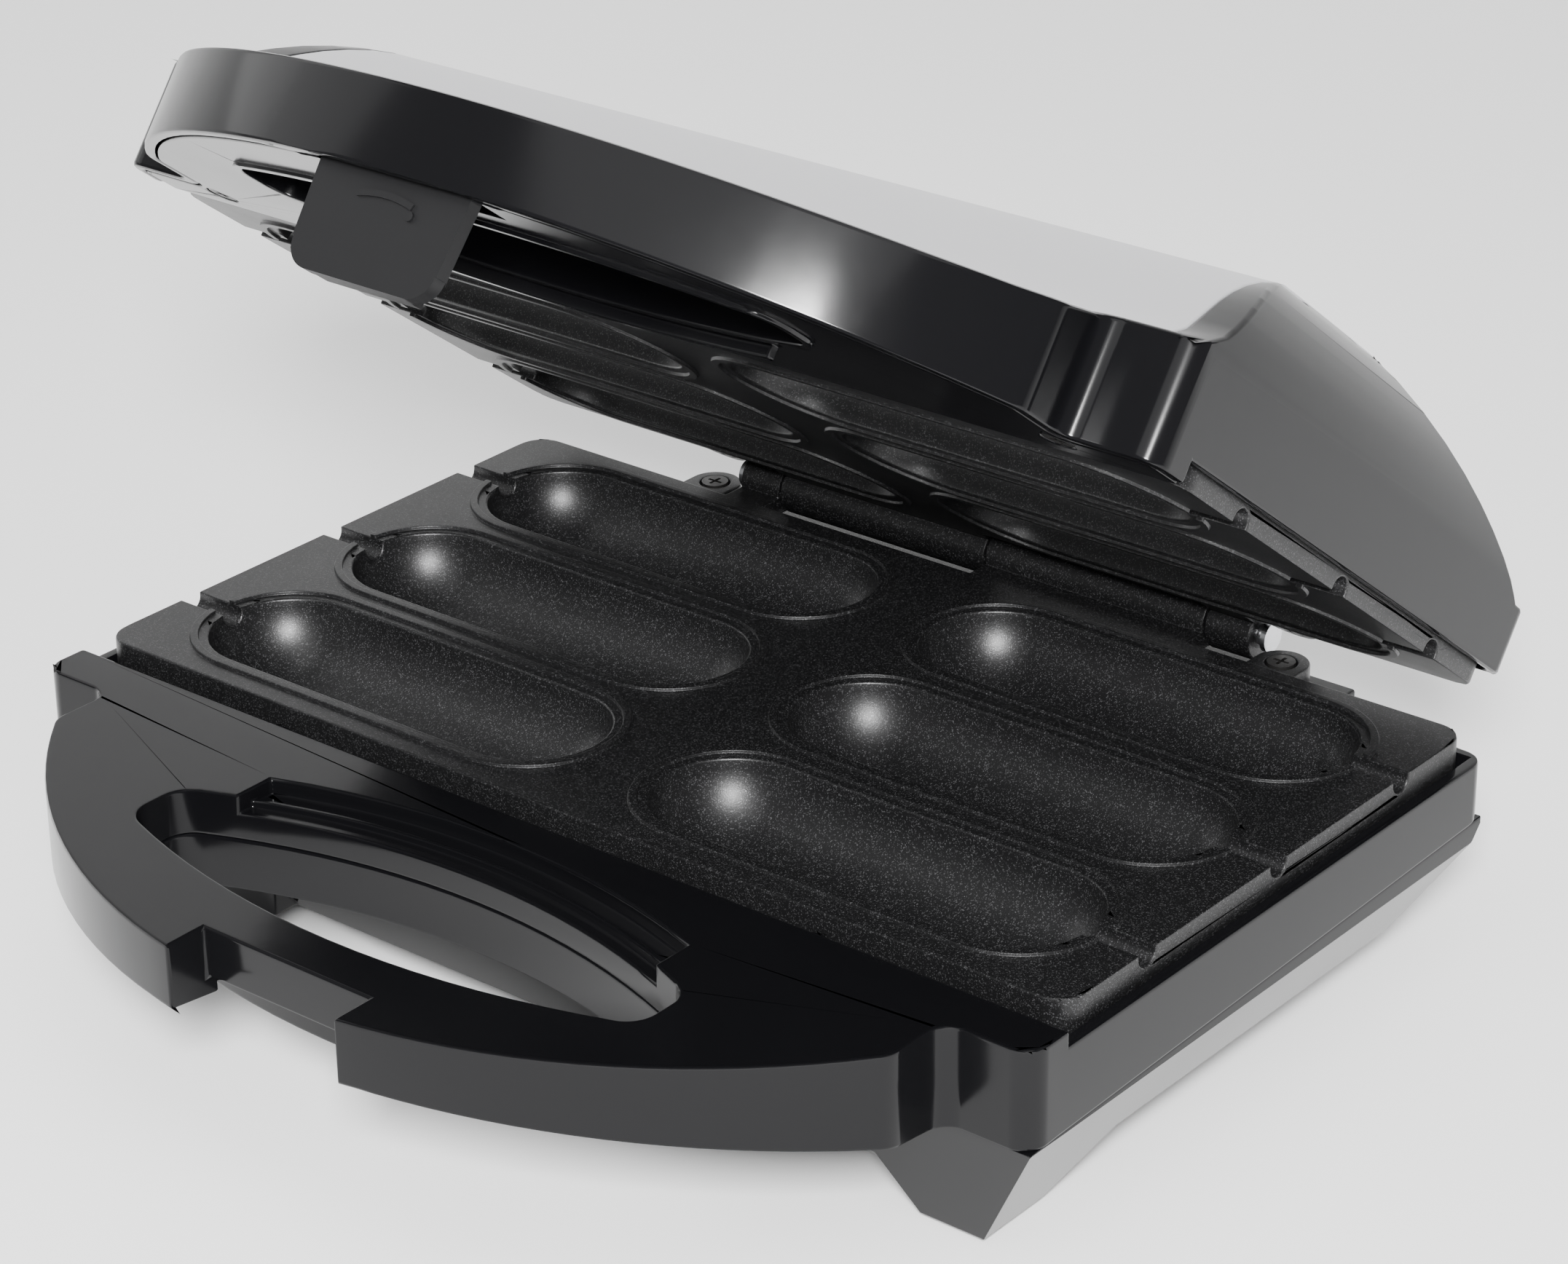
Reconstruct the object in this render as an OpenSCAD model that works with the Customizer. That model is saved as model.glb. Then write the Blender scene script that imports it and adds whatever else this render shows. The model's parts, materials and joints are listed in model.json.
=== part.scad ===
// Electric maker for six filled cakes on sticks: a clamshell of two identical
// die-cast plates in glossy plastic shells, hinged at the rear, latched at the front.
// X is the width, Y runs from the front handle to the rear hinge, Z is up.
// The origin lies on the counter, under the middle of the whole maker as it rests.

/* [Plates] */
// Width of a cooking plate
plate_w = 240; // [228:1:290]
// Depth of a cooking plate
plate_d = 132; // [126:1:160]
// Corner radius of a cooking plate
plate_r = 6; // [2:0.5:12]
// Thickness of a plate's flat web
plate_t = 3.5; // [2.5:0.5:5]
// Depth of the skirt round a plate's edge
skirt_h = 9; // [7:0.5:12]
// Thickness of that skirt
skirt_t = 3; // [2:0.5:4]
// Height of the lower plate's face above the counter
face_h = 51; // [49:1:60]
// Gap between the two plates' faces when the lid is shut
plate_gap = 1.8; // [1.8:0.1:3]

/* [Cavities] */
// Distance between neighbouring rows of cavities
row_pitch = 41.7; // [41:0.1:45]
// Distance from the middle line to a column's centre
column_x = 58.6; // [56:0.1:66]
// Straight length of a cavity between its round ends
cavity_straight = 66.8; // [50:0.2:68]
// Half width of a cavity at the face
cavity_half = 15.8; // [12:0.1:16]
// Depth of a cavity below the face
cavity_depth = 14.5; // [10:0.5:15]
// Wall of a cavity
cavity_wall = 2.4; // [2:0.1:3]
// Inner half width of the sealing rib round a cavity
rib_in = 17.8; // [17:0.1:19]
// Width of that rib
rib_w = 1.7; // [1:0.1:2.2]
// Height of that rib
rib_h = 0.7; // [0.4:0.1:0.7]
// Width of a stick groove
groove_w = 5; // [3:0.1:6]
// Depth of a stick groove
groove_depth = 3.2; // [2:0.1:3.4]

/* [Hinge] */
// Lid angle of the resting pose
lid_open = 37; // [0:1:60]
// Distance from the plate's rear edge to the hinge axis
hinge_back = 10.5; // [9:0.5:14]
// Outer radius of the hinge barrel
barrel_r = 5.5; // [4.5:0.1:6]
// Radius of the hinge pin
hinge_pin_r = 2; // [1.5:0.1:2.5]
// Outer end of the short knuckles
knuckle_end = 66; // [62:1:66]
// Seam between the short and the long knuckles
knuckle_seam = 55; // [45:1:58]
// Gap between neighbouring knuckles
knuckle_gap = 0.4; // [0.3:0.1:0.8]
// Distance from the middle line to a screw ear
ear_x = 73.5; // [73.5:0.5:78]
// Outer radius of a screw ear
ear_r = 5.8; // [5:0.1:6.4]

/* [Shells] */
// Wall thickness of the plastic shells
wall = 2.5; // [2:0.1:3]
// Gap between a plate and its shell
plate_clear = 0.5; // [0.3:0.1:1]
// Distance from the plate's front edge to the front of the shoulders
shoulder_d = 14; // [12:1:18]
// Radius of the front of the handle
bow_r = 130.5; // [128:0.5:140]
// Distance of the handle's foremost point from the plates' middle
bow_front = 145.5; // [140:0.5:152]
// Half width of the handle where it meets the shoulders
bow_half = 104; // [96:1:108]
// Depth of the base's front face below the lower plate's face
front_drop = 2.5; // [1.5:0.1:3.5]
// Depth of the base's side rim below the lower plate's face
rim_drop = 5.5; // [5:0.1:7]
// Depth of the bottom below the lower plate's face
floor_drop = 39; // [39:1:44]
// Height of the lid's side rim above the upper plate's face
lid_rim = 3.9; // [3.6:0.1:5]
// Height of the lid's crest above the upper plate's face
crest_h = 47; // [44:0.5:52]
// Height of the lid's band at the middle of its front
band_h = 15.6; // [14:0.1:18]
// Thickness of the lid's bright top panel
panel_t = 1.4; // [1:0.1:2]
// Half width of the rear housing that carries the hinge posts
rump_half = 86; // [84:1:92]

/* [Handle opening] */
// Half width of the opening in the handle
opening_half = 63; // [55:1:66]
// Depth of the stepped ledge behind the opening
ledge_depth = 4; // [3:0.5:5]
// Half width of that ledge
ledge_half = 52; // [40:1:54]
// Depth of the finger pocket in the lid
pocket_depth = 10.5; // [8:0.5:11]

/* [Latch] */
// Width of the latch at its top
latch_w = 35.5; // [30:0.5:37]
// Half width of the notch that the latch drops into
notch_half = 20.5; // [20.5:0.5:24]
// Thickness of the latch
latch_t = 3; // [2.4:0.1:3]
// Radius of the latch pin
latch_pin_r = 1.5; // [1.2:0.1:1.6]

/* [Heating] */
// Radius of the heating tube
tube_r = 3.25; // [3:0.05:3.5]
// Depth of the heating tube's axis behind the plate's face
tube_z = 21.5; // [21.5:0.1:22]
// Depth of the heat shield behind the plate's face
shield_z = 27.4; // [27.2:0.2:29]
// Thickness of the heat shield
shield_t = 0.8; // [0.6:0.1:1.2]

/* [Hidden] */
$fn = 48;
slit = 0.01;
gloss = "#1c1c1f";
cast = "#38383b";
silver = "#d4d5da";
steel = "#b9bbc0";

// Places that several pieces share
half_w = plate_w / 2;
half_d = plate_d / 2;
body_half = half_w + plate_clear + wall;
shoulder_y = -half_d - shoulder_d;
bow_y = bow_r - bow_front;
rear_y = half_d + 0.2 + wall;
rump_y = half_d + 14;
hinge_y = half_d + hinge_back;
mid_y = (bow_front - half_d - 22.5) / 2;
hinge_z = plate_gap / 2;
ear_y = half_d + 5.5;
ear_t = 3.8;
post_r = 4.6;
screw_r = 1.6;
hole_r = 1.75;
pilot_r = screw_r + 0.02;
pin_hole_r = hinge_pin_r + 0.06;
tube_y = row_pitch / 2;
cavity_r = (pow(cavity_half, 2) + pow(cavity_depth, 2)) / (2 * cavity_depth);
cavity_z = cavity_r - cavity_depth;
bend_x = half_w - 37;
tube_end_x = half_w - 16;
clamp_x = column_x;
clamp_half = 9;
boss_r = 3;
clamp_foot_z = tube_z - 1.5;
shield_screw_y = tube_y + 9;
strap_t = 1.2;
// The opening is a lens between two circles
lens_rear_r = 150;
lens_front_r = 177;
lens_rear_y = -half_d - 20;
lens_front_y = -bow_front + 21.5;
notch_y = -bow_front + 10.8;
catch_z = -12.8;
hook_z = -15.7;
side_taper = 0.57;
nose_half = opening_half - 2;
latch_face_y = -bow_front + 4;
latch_pin_y = latch_face_y + latch_t / 2 + 0.6;
latch_pin_z = 2.7;
latch_low = -19.4;
lid_floor = -0.2;
seam_z = -12;
// The underside of the base's band: it rises towards the handle's front
band_front_z = -14;
band_shoulder_z = -23;
band_rear_z = -18.5;
leg_z = -face_h + 1;
foot_r = 4.5;
foot_front = [half_w - 20.5, -half_d + 4];
foot_rear = [half_w - 34, half_d - 29];
lid_screw = [body_half - 23, -half_d - 8.5];
lid_rear_y = half_d + 6;
screw_front = [opening_half + 4, -half_d - 5.2];
saddle_z = -6.5;
screw_rear = [rump_half - 36, half_d + 7.5];
screw_seat_z = -25;
inlet_x = 24 - rump_half;
inlet_z = -18.6;
inlet_r = 4.6;

function bezier(a, b, c, d, n) = [for (i = [0 : n]) let (t = i / n, u = 1 - t)
    u * u * u * a + 3 * u * u * t * b + 3 * u * t * t * c + t * t * t * d];

// Placing: everything on the base is drawn from the lower plate's face,
// everything on the lid from the upper plate's face
module on_base() translate([0, mid_y, face_h]) children();
module on_lid() {
    translate([0, mid_y + hinge_y, face_h + hinge_z]) rotate([-lid_open, 0, 0])
        translate([0, -hinge_y, plate_gap - hinge_z]) children();
}
module both_sides() {
    children();
    mirror([1, 0, 0]) children();
}
// A profile in Y and Z, drawn out along X, and one in X and Z drawn out along Y
module along_x(w) rotate([90, 0, 90]) linear_extrude(w, center = true) children();
module along_y(d) rotate([90, 0, 0]) linear_extrude(d, center = true) children();
module slab(x, y, z0, z1) translate([-x, y[0], z0]) cube([2 * x, y[1] - y[0], z1 - z0]);
module rounded(w, d, r) {
    square([w - 2 * r, d], center = true);
    square([w, d - 2 * r], center = true);
    for (x = [-1, 1] * (w / 2 - r), y = [-1, 1] * (d / 2 - r)) translate([x, y]) circle(r);
}
module rod(p, q, r) {
    v = q - p;
    translate(p) rotate([0, acos(v[2] / norm(v)), atan2(v[1], v[0])]) cylinder(r = r, h = norm(v));
}
module run(points, r) {
    for (i = [0 : len(points) - 2]) rod(points[i], points[i + 1], r);
    for (i = [1 : len(points) - 2]) translate(points[i]) sphere(r = r * 1.12);
}
module screw(length, head_r, head_h) {
    difference() {
        union() {
            cylinder(r = head_r, h = head_h);
            translate([0, 0, -length]) cylinder(r = screw_r, h = length + slit);
        }
        for (a = [0, 90]) rotate(a) translate([-head_r * 0.6, -0.35, head_h - 1])
            cube([head_r * 1.2, 0.7, 2]);
    }
}

// ---- Plates ----
module stadium(r) {
    square([cavity_straight, 2 * r], center = true);
    for (s = [-1, 1]) translate([s * cavity_straight / 2, 0]) circle(r);
}
module trough(r) {
    translate([0, 0, cavity_z]) {
        rotate([0, 90, 0]) cylinder(r = r, h = cavity_straight, center = true);
        for (s = [-1, 1]) translate([s * cavity_straight / 2, 0, 0]) sphere(r = r);
    }
}
module at_cavities() for (s = [-1, 1], j = [-1 : 1]) translate([s * column_x, j * row_pitch, 0]) children();
module barrel(x0, x1) translate([x0, hinge_y, hinge_z]) rotate([0, 90, 0])
    cylinder(r = barrel_r, h = x1 - x0);
module knuckle(x0, x1) {
    barrel(x0 + knuckle_gap / 2, x1 - knuckle_gap / 2);
    web_y = half_d - skirt_t;
    translate([x0 + knuckle_gap / 2, web_y, hinge_z - barrel_r + 0.6])
        cube([x1 - x0 - knuckle_gap, hinge_y - web_y, barrel_r - hinge_z - 0.6]);
}
module plate() {
    groove_start = column_x + cavity_straight / 2 + cavity_half * 0.6;
    difference() {
        union() {
            translate([0, 0, -plate_t]) linear_extrude(plate_t) rounded(plate_w, plate_d, plate_r);
            translate([0, 0, -skirt_h]) linear_extrude(skirt_h) difference() {
                rounded(plate_w, plate_d, plate_r);
                rounded(plate_w - 2 * skirt_t, plate_d - 2 * skirt_t, plate_r - 2);
            }
            intersection() {
                at_cavities() trough(cavity_r + cavity_wall);
                slab(half_w - 1, [1 - half_d, half_d - 1], -cavity_depth - 4, -1);
            }
            at_cavities() linear_extrude(rib_h) stadium(rib_in + rib_w);
            knuckle(-knuckle_end, -knuckle_seam);
            knuckle(0, knuckle_seam);
            for (s = [-1, 1]) {
                translate([s * ear_x, ear_y, -ear_t - 1]) cylinder(r = ear_r, h = ear_t);
                translate([s * ear_x - ear_r, half_d - skirt_t, -ear_t - 1])
                    cube([2 * ear_r, ear_y - half_d + skirt_t, ear_t]);
                // Seats for the heating tube, between the rows
                translate([-tube_end_x + 8, s * tube_y - 2.2, -tube_z])
                    cube([tube_end_x + bend_x - 8, 4.4, tube_z - 1]);
            }
            for (x = [-1, 1] * clamp_x, y = [-1, 1] * tube_y, s = [-1, 1] * clamp_half)
                translate([x, y + s, -clamp_foot_z]) cylinder(r = boss_r, h = clamp_foot_z - 8);
            // Boss that carries the thermostat or the fuse, and two for the heat shield
            translate([0, 0, -cavity_depth + 1]) cylinder(r = 5, h = cavity_depth - 2);
            for (s = [-1, 1]) translate([0, s * shield_screw_y, -shield_z])
                cylinder(r = 3.5, h = shield_z - 1);
        }
        at_cavities() translate([0, 0, rib_h]) linear_extrude(2) stadium(rib_in + rib_w + 1);
        at_cavities() linear_extrude(rib_h + 1) stadium(rib_in);
        at_cavities() trough(cavity_r);
        // Stick grooves from each cavity's outer end to the plate's edge
        for (s = [-1, 1], j = [-1 : 1]) translate([s * (groove_start + half_w + 2) / 2, j * row_pitch, 0]) {
            len = half_w + 2 - groove_start;
            translate([0, 0, groove_w / 2 - groove_depth]) rotate([0, 90, 0])
                cylinder(r = groove_w / 2, h = len, center = true);
            translate([-len / 2, -groove_w / 2, groove_w / 2 - groove_depth])
                cube([len, groove_w, groove_depth + 1]);
        }
        translate([-knuckle_end - 1, hinge_y, hinge_z]) rotate([0, 90, 0])
            cylinder(r = pin_hole_r, h = 2 * knuckle_end + 2);
        for (s = [-1, 1]) {
            translate([s * ear_x, ear_y, -ear_t - 2]) cylinder(r = hole_r, h = ear_t + 2);
            translate([s * ear_x, ear_y, -2.6]) cylinder(r = 3.3, h = 3);
            translate([-tube_end_x, s * tube_y, -tube_z]) rotate([0, 90, 0])
                cylinder(r = tube_r + 0.02, h = tube_end_x + half_w);
        }
        for (x = [-1, 1] * clamp_x, y = [-1, 1] * tube_y, s = [-1, 1] * clamp_half)
            translate([x, y + s, -clamp_foot_z - 1]) cylinder(r = 1.2, h = 9);
        for (s = [-1, 1]) translate([0, s * shield_screw_y, -shield_z - 1]) cylinder(r = 1.2, h = 9);
    }
}
module flipped() rotate([0, 180, 0]) children();
module lower_plate() color(cast) on_base() plate();
module upper_plate() color(cast) on_lid() flipped() plate();

// ---- Heating ----
module element() {
    for (s = [-1, 1]) {
        translate([-tube_end_x, s * tube_y, -tube_z]) rotate([0, 90, 0])
            cylinder(r = tube_r, h = tube_end_x + bend_x);
        // End seal and connecting pin
        translate([-tube_end_x - 3, s * tube_y, -tube_z]) rotate([0, 90, 0])
            cylinder(r = tube_r + 0.6, h = 3 + slit);
        translate([-tube_end_x - 9, s * tube_y, -tube_z]) rotate([0, 90, 0]) cylinder(r = 1.4, h = 7);
    }
    translate([bend_x, 0, -tube_z]) rotate([0, 0, -90]) rotate_extrude(angle = 180)
        translate([tube_y, 0]) circle(tube_r);
}
module strap() {
    low = -tube_z - tube_r - 0.05;
    side = tube_r + 0.35;
    along_x(10) difference() {
        union() {
            translate([-clamp_half - boss_r, -clamp_foot_z - strap_t])
                square([2 * (clamp_half + boss_r), strap_t]);
            translate([-side - strap_t, low - strap_t])
                square([2 * (side + strap_t), -clamp_foot_z - low + strap_t]);
        }
        translate([-side, low]) square([2 * side, 20]);
    }
}
module clamps() {
    for (x = [-1, 1] * clamp_x, y = [-1, 1] * tube_y) difference() {
        translate([x, y, 0]) strap();
        for (s = [-1, 1] * clamp_half) translate([x, y + s, -clamp_foot_z - 3]) cylinder(r = hole_r, h = 4);
    }
}
module small_screw() {
    rotate([180, 0, 0]) difference() {
        union() {
            cylinder(r = 2.6, h = 1.6);
            translate([0, 0, -6.5]) cylinder(r = 1.15, h = 6.6);
        }
        translate([-2, -0.3, 1]) cube([4, 0.6, 1]);
    }
}
module heater_screws() {
    for (x = [-1, 1] * clamp_x, y = [-1, 1] * tube_y, s = [-1, 1] * clamp_half)
        translate([x, y + s, -clamp_foot_z - strap_t]) small_screw();
    for (s = [-1, 1]) translate([0, s * shield_screw_y, -shield_z - shield_t]) small_screw();
}
module shield(y0, y1) {
    edge = half_w - 13;
    difference() {
        translate([0, 0, -shield_z - shield_t]) union() {
            slab(edge, [y0, y1], 0, shield_t);
            slab(edge, [y0, y0 + shield_t], 0, 3);
            slab(edge, [y1 - shield_t, y1], 0, 3);
            both_sides() translate([edge - shield_t, y0, 0]) cube([shield_t, y1 - y0, 3]);
        }
        translate([0, 0, -shield_z - 2]) cylinder(r = 10, h = 4);
        for (s = [-1, 1]) translate([0, s * shield_screw_y, -shield_z - 2]) cylinder(r = hole_r, h = 4);
        for (s = [-1, 1]) translate([-edge - 1, s * tube_y - 6, -shield_z - 2]) cube([14, 12, 8]);
    }
}
module lower_heating_element() color("#6d6a66") on_base() element();
module lower_element_clamps() color(steel) on_base() clamps();
module lower_heater_screws() color(steel) on_base() heater_screws();
module lower_heat_shield() color(silver) on_base() shield(-half_d + 8, half_d - 16);
module upper_heating_element() color("#6d6a66") on_lid() flipped() element();
module upper_element_clamps() color(steel) on_lid() flipped() clamps();
module upper_heater_screws() color(steel) on_lid() flipped() heater_screws();
module upper_heat_shield() color(silver) on_lid() flipped() shield(-half_d + 9, half_d - 32);
module thermostat() {
    color("#d9d4c8") on_base() translate([0, 0, -cavity_depth + 1]) {
        translate([0, 0, -5]) cylinder(r = 7, h = 5);
        translate([0, 0, -11]) cylinder(r = 6, h = 6 + slit);
        for (s = [-1, 1]) translate([s * 3 - 0.4, -2.4, -17]) cube([0.8, 4.8, 6.1]);
    }
}
module thermal_fuse() {
    color("#c9b37a") on_lid() translate([0, 0, cavity_depth + 1]) {
        rotate([0, 90, 0]) cylinder(r = 2, h = 12, center = true);
        translate([-3, -5, -2]) cube([6, 10, 0.8]);
        difference() {
            rotate([0, 90, 0]) cylinder(r = 2.8, h = 6, center = true);
            translate([-4, -4, -4]) cube([8, 8, 2.1]);
        }
        for (s = [-1, 1]) translate([s * 9, 0, 0]) rotate([0, 90, 0])
            cylinder(r = 0.6, h = 7, center = true);
    }
}
block_x = -half_w + 28;
module terminal_block(z0) {
    difference() {
        translate([block_x - 8, -16, z0]) cube([16, 32, 6]);
        for (y = [-10, 0, 10], x = [-4.5, 4.5]) translate([block_x + x, y, z0 + 1.5])
            cylinder(r = 2, h = 6);
    }
}
block_low = -floor_drop + wall;
module base_terminal_block() color("#e6e0d2") on_base() terminal_block(block_low);
module base_leads() {
    color("#b34a3c") on_base() for (s = [-1, 1]) run([[-tube_end_x - 8, s * tube_y, -tube_z - 2.6],
        [-tube_end_x + 1, s * (tube_y - 1), -tube_z - 9.3], [block_x - 9.3, s * 10, block_low + 3.5]], 1.2);
}
lid_block_z = shield_z + shield_t;
module lid_terminal_block() color("#e6e0d2") on_lid() mirror([1, 0, 0])
    translate([0, -22, 0]) terminal_block(lid_block_z);
module lid_leads() {
    color("#b34a3c") on_lid() for (s = [-1, 1]) run([
        [tube_end_x + 8, s * tube_y, tube_z + 2.6], [tube_end_x + 9, s * tube_y, tube_z + 3.6],
        [tube_end_x, s * tube_y, tube_z + 9.4], [10 - block_x, s * 10 - 22, lid_block_z + 3],
        [8 - block_x, s * 10 - 22, lid_block_z + 3]], 1.2);
}

// ---- Shell outlines ----
// The outline seen from above: a rectangle with round corners and a bowed handle
module outline(inset) {
    side = bow_half - inset;
    corner = 6 - inset * 0.8;
    corner_x = side - corner;
    corner_y = bow_y - sqrt(pow(bow_r - inset - corner, 2) - corner_x * corner_x);
    main_d = rear_y - shoulder_y - 2 * inset;
    translate([0, shoulder_y + inset + main_d / 2]) rounded(2 * (body_half - inset), main_d,
        5 - inset * 0.8);
    intersection() {
        translate([0, bow_y]) circle(bow_r - inset);
        translate([-side, -200]) square([2 * side, 200 + shoulder_y + 8]);
        translate([-corner_x - corner * 0.78, -200]) square([2 * (corner_x + corner * 0.78), 200]);
    }
    for (s = [-1, 1]) {
        translate([s * corner_x, corner_y]) circle(corner);
        translate([s * (side - corner / 2) - corner / 2, corner_y])
            square([corner, shoulder_y + 8 - corner_y]);
        // Hollow fillet between the handle and the shoulder
        translate([s * side, shoulder_y + inset]) difference() {
            translate([s > 0 ? -1 : -4, -4]) square([5, 5]);
            translate([s * 4, -4]) circle(4);
        }
    }
}
module lens(grow) {
    r = 6;
    x = opening_half - r;
    y_rear = lens_rear_y - lens_rear_r + sqrt(pow(lens_rear_r - r, 2) - x * x);
    y_front = lens_front_y + lens_front_r - sqrt(pow(lens_front_r - r, 2) - x * x);
    half = x + 0.365 * (r + grow);
    intersection() {
        translate([0, lens_rear_y - lens_rear_r]) circle(lens_rear_r + grow);
        translate([0, lens_front_y + lens_front_r]) circle(lens_front_r + grow);
        translate([-half, -160]) square([2 * half, 100]);
    }
    for (s = [-1, 1]) {
        translate([s * x, y_rear]) circle(r + grow);
        translate([s * x, y_front]) circle(r + grow);
        translate([s * (x + (r + grow) / 2) - (r + grow) / 2, y_front])
            square([r + grow, y_rear - y_front]);
    }
}
// A strip that runs along the rear of the opening, from one distance to another
module rear_strip(near, far, half) {
    intersection() {
        difference() {
            translate([0, lens_rear_y - lens_rear_r]) circle(lens_rear_r + far);
            translate([0, lens_rear_y - lens_rear_r]) circle(lens_rear_r + near);
        }
        translate([-half, -120]) square([2 * half, 70]);
    }
}
module notch_box(grow, z0, z1) {
    translate([-notch_half - grow, -bow_front - 8, z0])
        cube([2 * (notch_half + grow), notch_y + bow_front + 8 + grow, z1 - z0]);
}
// Everything under the parting line between the base's upper and lower shells
module below_parting(raise) {
    along_x(400) polygon([[-bow_front - 20, band_front_z + 1 + raise], [-bow_front - 20, -90],
        [rump_y + 20, -90],
        [rump_y + 20, band_rear_z + raise], [half_d, band_rear_z + raise],
            [shoulder_y + 8, band_shoulder_z + 0.6 + raise],
        [shoulder_y - 2, band_shoulder_z + raise]]);
}

// ---- Base ----
module base_housing() {
    color(gloss) on_base() difference() {
        union() {
            difference() {
                translate([0, 0, -30]) linear_extrude(30 - front_drop) outline(0);
                translate([0, 0, -31]) linear_extrude(31 - front_drop - wall) outline(wall);
                translate([0, 0, -60]) linear_extrude(80) translate([0, 0.1 - plate_clear / 2])
                    square([plate_w + 2 * plate_clear, plate_d + plate_clear + 0.2], center = true);
                slab(body_half + 5, [-half_d - 3, rump_y + 5], -rim_drop, 5);
            }
            // Rear housing under the hinge, and the posts that the plate is screwed to
            difference() {
                translate([-rump_half, rear_y - 2, -28])
                    cube([2 * rump_half, rump_y - rear_y + 2, 28 + saddle_z]);
                translate([wall - rump_half, rear_y - wall - 1, -29])
                    cube([2 * (rump_half - wall), rump_y - rear_y + 1, 29 + saddle_z - wall]);
            }
            for (s = [-1, 1]) {
                translate([s * ear_x, ear_y, -17]) cylinder(r = post_r, h = 17 - ear_t - 1);
                translate([s * screw_rear[0], screw_rear[1], -22]) cylinder(r = 4.4, h = 21 + saddle_z);
                translate([s * screw_front[0], screw_front[1], -22])
                    cylinder(r = 4, h = 22 - front_drop - 1);
                // Ledge that the plate's skirt rests on at the front
                translate([s * 40, 0, 0]) along_x(20) polygon([[-half_d - 6, -front_drop - 1],
                    [-half_d - 2, -front_drop - 1],
                    [-half_d - 2, -skirt_h], [-half_d + 4, -skirt_h], [-half_d + 4, -skirt_h - 2.5],
                        [-half_d - 6, -skirt_h - 2.5]]);
            }
            // Wall round the opening, the ledge behind it, and the walls of the latch's notch
            translate([0, 0, seam_z]) linear_extrude(-seam_z - front_drop) difference() {
                lens(2.2);
                lens(0);
            }
            translate([0, 0, -front_drop - ledge_depth - 2]) linear_extrude(ledge_depth + 2)
                rear_strip(0.1, 11, ledge_half + 2.5);
            intersection() {
                notch_box(wall, -30, -front_drop);
                translate([0, 0, -30]) linear_extrude(30) outline(0);
            }
        }
        below_parting(0);
        translate([0, 0, -60]) linear_extrude(60) lens(0);
        translate([0, 0, -front_drop - ledge_depth]) linear_extrude(10) rear_strip(-2, 3.4, ledge_half);
        translate([0, 0, -front_drop - ledge_depth + 1.4]) linear_extrude(10)
            rear_strip(3.2, 4.8, ledge_half);
        translate([0, 0, -front_drop - ledge_depth + 0.7]) linear_extrude(10)
            rear_strip(4.6, 8.4, ledge_half);
        notch_box(0, -40, 5);
        // Undercut that the latch hooks into
        translate([-notch_half, notch_y - 1, -40]) cube([2 * notch_half, 5, 40 + catch_z]);
        for (s = [-1, 1]) {
            translate([s * ear_x, ear_y, -16]) cylinder(r = pilot_r, h = 20);
            translate([s * screw_rear[0], screw_rear[1], -23]) cylinder(r = pilot_r, h = 8);
            translate([s * screw_front[0], screw_front[1], -23]) cylinder(r = pilot_r, h = 16);
        }
        translate([inlet_x, rump_y - 8, inlet_z]) rotate([-90, 0, 0]) cylinder(r = inlet_r, h = 12);
    }
}
module block(inset) {
    low = -face_h - 6;
    top_w = body_half - 0.5 - inset;
    bottom_w = top_w - side_taper * (band_shoulder_z - low);
    intersection() {
        along_y(400) polygon([[-top_w, -10], [-top_w, band_shoulder_z], [-bottom_w, low], [bottom_w, low],
            [top_w, band_shoulder_z], [top_w, -10]]);
        along_x(400) polygon([[shoulder_y + 0.5 + inset, -10], [shoulder_y + 0.5 + inset, band_shoulder_z],
            [shoulder_y + 10 + inset, low], [half_d - 32 - inset, low],
                [rear_y - inset, band_rear_z - 1.5], [rear_y - inset, -10]]);
        union() {
            difference() {
                slab(200, [-200, 200], inset - floor_drop, 10);
                // In the middle only the leaning front panel is left
                along_x(2 * (nose_half - inset)) polygon([[-100, -60], [-100, 0], [-half_d - 15, 0],
                    [-half_d - 7 + inset, -floor_drop], [-half_d - 7 + inset, -60]]);
            }
            // The front legs reach down beside the floor
            both_sides() intersection() {
                along_y(400) polygon([[half_w - 27 + inset, leg_z + inset], [half_w + 20, leg_z + inset],
                    [half_w + 20, -20],
                    [half_w - 48 + inset, -20]]);
                along_x(400) polygon([[-100, leg_z + inset], [-half_d + 12 - inset, leg_z + inset],
                    [-half_d + 26 - inset, -floor_drop], [-half_d + 26 - inset, 0], [-100, 0]]);
            }
        }
    }
    // Beside the opening the front stands upright, down to the floor
    both_sides() translate([nose_half + inset, shoulder_y + 0.8 + inset, inset - floor_drop])
        cube([16 - 2 * inset, 14, floor_drop + band_shoulder_z + 1]);
    // The rear legs stand under the floor
    both_sides() intersection() {
        along_y(400) polygon([[half_w - 42 + inset, leg_z + inset], [half_w - 26 - inset, leg_z + inset],
            [half_w - 21 - inset, -floor_drop + 4], [half_w - 50 + inset, -floor_drop + 4]]);
        along_x(400) polygon([[half_d - 36 + inset, leg_z + inset], [half_d - 22 - inset, leg_z + inset],
            [half_d - 18 - inset, -floor_drop + 4], [half_d - 44 + inset, -floor_drop + 4]]);
    }
    // The middle of the front leans forward, up to the opening
    along_x(2 * (nose_half - inset)) polygon([[lens_rear_y + inset, seam_z],
        [-half_d - 7 + inset, -floor_drop + inset],
        [-half_d + 10, -floor_drop + inset], [-half_d + 10, seam_z]]);
    // Underside of the hinge's housing
    along_x(2 * (rump_half - inset)) polygon([[half_d - 8, -12], [rump_y - inset, -12],
        [rump_y - inset, band_rear_z - 5.5],
        [half_d + 3 - inset, -floor_drop + 8 + inset], [half_d - 8, -floor_drop + 8 + inset]]);
}
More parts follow.
